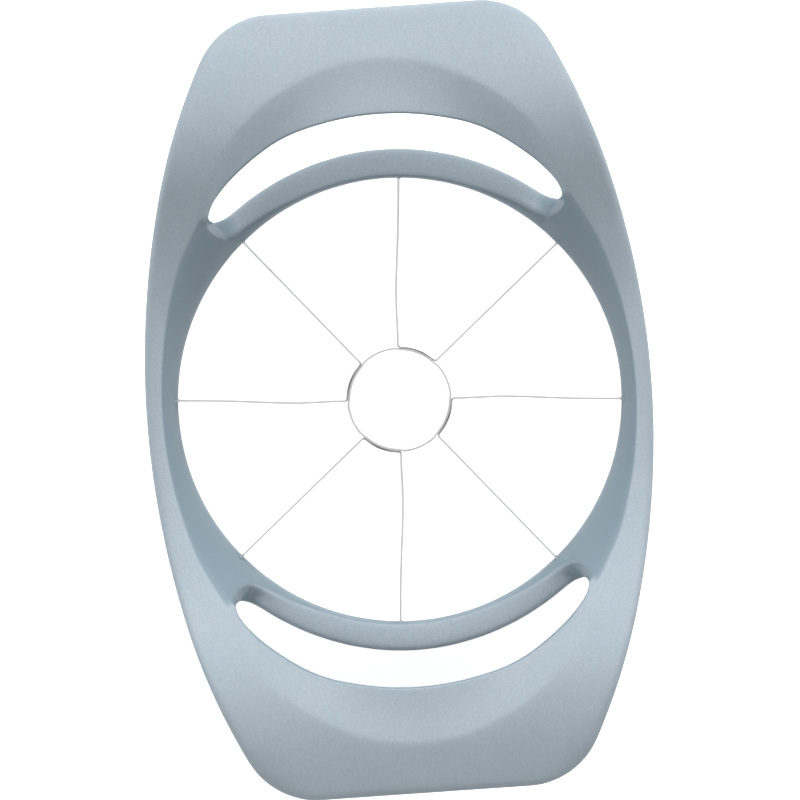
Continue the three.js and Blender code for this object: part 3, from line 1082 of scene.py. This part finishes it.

# %% [markdown]
# The bowl's wall and the small hollow at each end of a finger slot are given a darker colour: painted shade,
# for the shade that falls inside the bowl and in the hollows. Two masks find them on the piece: the wall
# faces the centre line, and the hollows lie at one place in each quarter and face upwards.

# %% Painted shade on the bowl's wall and in the hollows
wall_facing = -0.5  # the painted shade begins where a face turns this far towards the centre line
full_wall_facing = -0.88
hollow_radius = 0.0547
hollow_turn = math.radians(48.3)
hollow_reach = 0.0034
full_hollow_reach = 0.0014
hollow_shade_strength = 0.8
hollow_facing = 0.15
full_hollow_facing = 0.45
in_plan = (1, 1, 0)


# Painted shade on the bowl's wall, where a face turns towards the centre line.
def wall_shade_mask(material):
    outward = vector_node(material, "NORMALIZE", vector_node(material, "MULTIPLY", place, in_plan))
    facing_out = vector_node(material, "DOT_PRODUCT", outward, normal, output="Value")
    return remap(material, facing_out, wall_facing, full_wall_facing)


# Painted shade in the hollow at each end of a finger slot, on faces that look upwards.
def hollow_shade_mask(material):
    hollow = (hollow_radius * math.cos(hollow_turn), hollow_radius * math.sin(hollow_turn), 0)
    mirrored = vector_node(material, "MULTIPLY", vector_node(material, "ABSOLUTE", place), in_plan)
    from_hollow = vector_node(material, "DISTANCE", mirrored, hollow, output="Value")
    near_hollow = remap(material, from_hollow, hollow_reach, full_hollow_reach, 0, hollow_shade_strength)
    upward = remap(material, facing_up, hollow_facing, full_hollow_facing)
    return math_node(material, "MULTIPLY", near_hollow, upward)


# Where the painted shade falls: on the wall or in a hollow.
painted_shade = math_node(plastic, "MAXIMUM", wall_shade_mask(plastic), hollow_shade_mask(plastic))

# %% [markdown]
# The plastic's own colour is even, with only a faint cloudiness, and painted shade darkens the bowl's wall
# and the hollows. Each speck of the grain is up to a tenth paler or darker, and the pale ones are a little
# glossier.

# %% Moulded plastic
plastic_colour = (0.428, 0.506, 0.566, 1)
cloud_colour = (0.45, 0.526, 0.584, 1)
# The darker colour that paints shade on the wall and in the hollows.
painted_shade_colour = (0.285, 0.372, 0.43, 1)
darkest_speck = 0.91
palest_speck = 1.09


def colour_plastic(material):
    cloud = noise(material, place, scale=45, detail=3)
    cloud = remap(material, cloud, from_low=0.35, from_high=0.65)
    flat = blend(material, cloud, plastic_colour, cloud_colour)
    # Painted shade: the wall and the hollows take the darker colour.
    base = blend(material, painted_shade, flat, painted_shade_colour)
    tone = add_node(material, "ShaderNodeVectorMath", operation="SCALE")
    join(material, base, tone.inputs[0])
    join(material, remap(material, speck, 0, 1, darkest_speck, palest_speck), tone.inputs["Scale"])
    return tone.outputs["Vector"]


roughness = remap(plastic, speck, 0, 1, to_low=0.62, to_high=0.5)
tilt = bump(plastic, grain_swing, strength=0.8, depth=0.00004)
shader = wire_shader(plastic, colour_plastic(plastic), roughness, tilt)
shader.inputs["Specular IOR Level"].default_value = 0.22
dress(moulding, plastic)

# %% [markdown]
# The strips are cold-rolled stainless. Rolling leaves fine lines along the sheet, which on a strip on edge
# are level lines, so the noise is stretched along X and Y and kept fine along Z. The lowest part is ground to
# an edge, with steeper scratches and a paler metal. An anisotropic shine could stand in for the lines, but
# in a close view it shows none.

# %% Lines of the rolled steel
steel = new_material("rolled_steel")
place = add_node(steel, "ShaderNodeTexCoord").outputs["Object"]
ground_top = blade_lift + ground_height
ground_fade = 0.00005


def stretched_noise(material, stretch, detail, roughness):
    mapping = add_node(material, "ShaderNodeMapping")
    mapping.inputs["Scale"].default_value = stretch
    join(material, place, mapping.inputs["Vector"])
    return noise(material, mapping.outputs[0], scale=1, detail=detail, roughness=roughness)


rolled = stretched_noise(steel, (150, 150, 16000), detail=3, roughness=0.6)
scratches = stretched_noise(steel, (7000, 7000, 500), detail=2, roughness=0.5)
ground = remap(steel, z_of(steel, place), ground_top + ground_fade, ground_top - ground_fade)
lines = blend(steel, ground, rolled, scratches, kind="FLOAT")

# %% [markdown]
# The steel's colour swings a little with its lines, and where the strips hug the core ring it is darker in
# blotches, as far as the number kept at each point says.

# %% Rolled steel
rolled_colours = ((0.52, 0.52, 0.52, 1), (0.6, 0.6, 0.6, 1))
ground_colours = ((0.6, 0.605, 0.61, 1), (0.68, 0.685, 0.69, 1))
# The darker colour where the strips hug the core ring.
hug_dark_colour = (0.22, 0.22, 0.225, 1)
line_low = 0.3
line_high = 0.7


def colour_steel(material):
    rolled_colour = blend(material, remap(material, rolled, line_low, line_high), *rolled_colours)
    ground_colour = blend(material, remap(material, scratches, line_low, line_high), *ground_colours)
    clean = blend(material, ground, rolled_colour, ground_colour)
    hug_darkness = add_node(material, "ShaderNodeAttribute", attribute_name="hug_darkening").outputs["Fac"]
    blotch = noise(material, place, scale=420, detail=2)
    blotch = remap(material, blotch, 0.35, 0.62, to_low=0.8, to_high=1.3)
    # Darker in blotches where the strips hug the core ring.
    darkening = math_node(material, "MULTIPLY", hug_darkness, blotch)
    return blend(material, darkening, clean, hug_dark_colour)


roughness = remap(steel, lines, line_low, line_high, to_low=0.26, to_high=0.38)
tilt = bump(steel, lines, strength=0.15, depth=0.00001)
shader = wire_shader(steel, colour_steel(steel), roughness, tilt)
shader.inputs["Metallic"].default_value = 1
for piece in strips + [core]:
    dress(piece, steel)

# %% [markdown]
# The photograph has a pure white background with hardly a shadow. A white world alone would light the slicer
# flat. So floor and world are white only to the camera and in reflections, by the Light Path node, and lamps
# do the lighting, with the floor's pale colour from below. Near the slicer the floor glows a little less,
# which leaves room for the faint shadow.

# %% Floor and world
floor_drop = 0.0002
floor_colour = (0.9, 0.9, 0.9, 1)
floor_glow = 0.8
floor_glow_start = 0.15
floor_glow_end = 0.4  # from here outwards the floor is pure white
deselect_pieces()
bpy.ops.mesh.primitive_plane_add(size=6, location=(0, 0, -floor_drop))
floor = name_piece("floor")
settle(floor)


def seen_directly(owner):
    path = add_node(owner, "ShaderNodeLightPath")
    seen = math_node(owner, "MAXIMUM", path.outputs["Is Camera Ray"], path.outputs["Is Glossy Ray"])
    return math_node(owner, "MAXIMUM", seen, path.outputs["Is Transmission Ray"])


def paint_floor(paint):
    paint.node_tree.nodes.clear()
    lit = add_node(paint, "ShaderNodeBsdfDiffuse")
    lit.inputs["Color"].default_value = floor_colour
    glow = add_node(paint, "ShaderNodeEmission")
    here = add_node(paint, "ShaderNodeTexCoord").outputs["Object"]
    distance = vector_node(paint, "LENGTH", here, output="Value")
    glow_here = remap(paint, distance, floor_glow_start, floor_glow_end, floor_glow, 1)
    join(paint, math_node(paint, "MULTIPLY", seen_directly(paint), glow_here), glow.inputs["Strength"])
    both = add_node(paint, "ShaderNodeAddShader")
    fill_sockets(paint, both.inputs, (lit.outputs[0], glow.outputs[0]))
    join(paint, both.outputs[0], add_node(paint, "ShaderNodeOutputMaterial").inputs["Surface"])


paint = new_material("pale_floor")
paint_floor(paint)
dress(floor, paint)
world = bpy.data.worlds.new("studio")
bpy.context.scene.world = world
world.use_nodes = True
background = world.node_tree.nodes["Background"]
background.inputs["Color"].default_value = (1, 1, 1, 1)
join(world, seen_directly(world), background.inputs["Strength"])

# %% [markdown]
# The photograph's light is soft and comes mostly from beyond the far handle, and from above. Each lamp is a
# large area light. Hidden from glossy rays, the lamps leave the steel to mirror white surroundings alone. One
# small lamp stands near, so that the handles come out a little darker than the middle.


# %% Lamps
def softbox(name, azimuth, elevation, width, height, power, distance):
    """A soft area light that looks at the slicer. Azimuth 0 is towards the far handle, 90 to the right."""
    data = bpy.data.lights.new(name, "AREA")
    data.shape = "RECTANGLE"
    data.size = width
    data.size_y = height
    data.energy = power
    lamp = bpy.data.objects.new(name, data)
    bpy.context.scene.collection.objects.link(lamp)
    turn = math.radians(azimuth)
    rise = math.radians(elevation)
    level = math.cos(rise)
    towards = Vector((level * math.sin(turn), level * math.cos(turn), math.sin(rise)))
    lamp.location = towards * distance
    lamp.rotation_euler = (-towards).to_track_quat("-Z", "Y").to_euler()
    lamp.visible_glossy = False
    lamp.visible_camera = False


far_lamp = 1.4
near_lamp = 0.5
# name, azimuth, elevation, width, height, power, distance
softbox("window", 0, 42, 1.1, 0.4, 6.9, far_lamp)
softbox("window_low", 0, 20, 1.1, 0.4, 3.9, far_lamp)
softbox("window_left", -55, 22, 0.8, 0.4, 5.3, far_lamp)
softbox("window_right", 55, 22, 0.8, 0.4, 8.5, far_lamp)
softbox("left", -100, 30, 0.6, 0.6, 1.6, far_lamp)
softbox("overhead", 180, 78, 0.7, 0.7, 3.6, far_lamp)
softbox("desk_lamp", 180, 62, 0.3, 0.3, 0.5, near_lamp)
print("lamps", len(bpy.data.lights))

# %% [markdown]
# The camera looks down from about 1.2 metres, a little to the right of the middle, with the slicer turned by
# four degrees. Its place was worked out from how the high slot edges sit against the low ring in the photo.

# %% Camera
camera_place = Vector((0.01, 0.0069, 1.2))
camera_aim = Vector((0.00004, -0.00013, 0))
turn_in_photo = -4
picture_width_at_base = 0.18034
sensor_width = 36  # in millimetres, as Blender counts lenses
camera_data = bpy.data.cameras.new("camera")
camera = bpy.data.objects.new("camera", camera_data)
bpy.context.scene.collection.objects.link(camera)
camera.location = camera_place
tilt = Vector((0, 0, -1)).rotation_difference(camera_aim - camera_place).to_matrix().to_4x4()
camera.rotation_euler = (tilt @ Matrix.Rotation(math.radians(turn_in_photo), 4, "Z")).to_euler()
camera_data.sensor_width = sensor_width
camera_data.lens = sensor_width * camera_place.z / picture_width_at_base
bpy.context.scene.camera = camera
bpy.context.scene.view_settings.view_transform = "Standard"
print("lens in mm", round(camera_data.lens, 1))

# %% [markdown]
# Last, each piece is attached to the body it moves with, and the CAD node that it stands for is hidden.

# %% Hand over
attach(moulding, "root")
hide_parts("frame")
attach(core, "root")
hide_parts("core_ring")
for strip, letter in zip(strips, "abcd"):
    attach(strip, "root")
    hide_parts(f"blade_strip_{letter}")
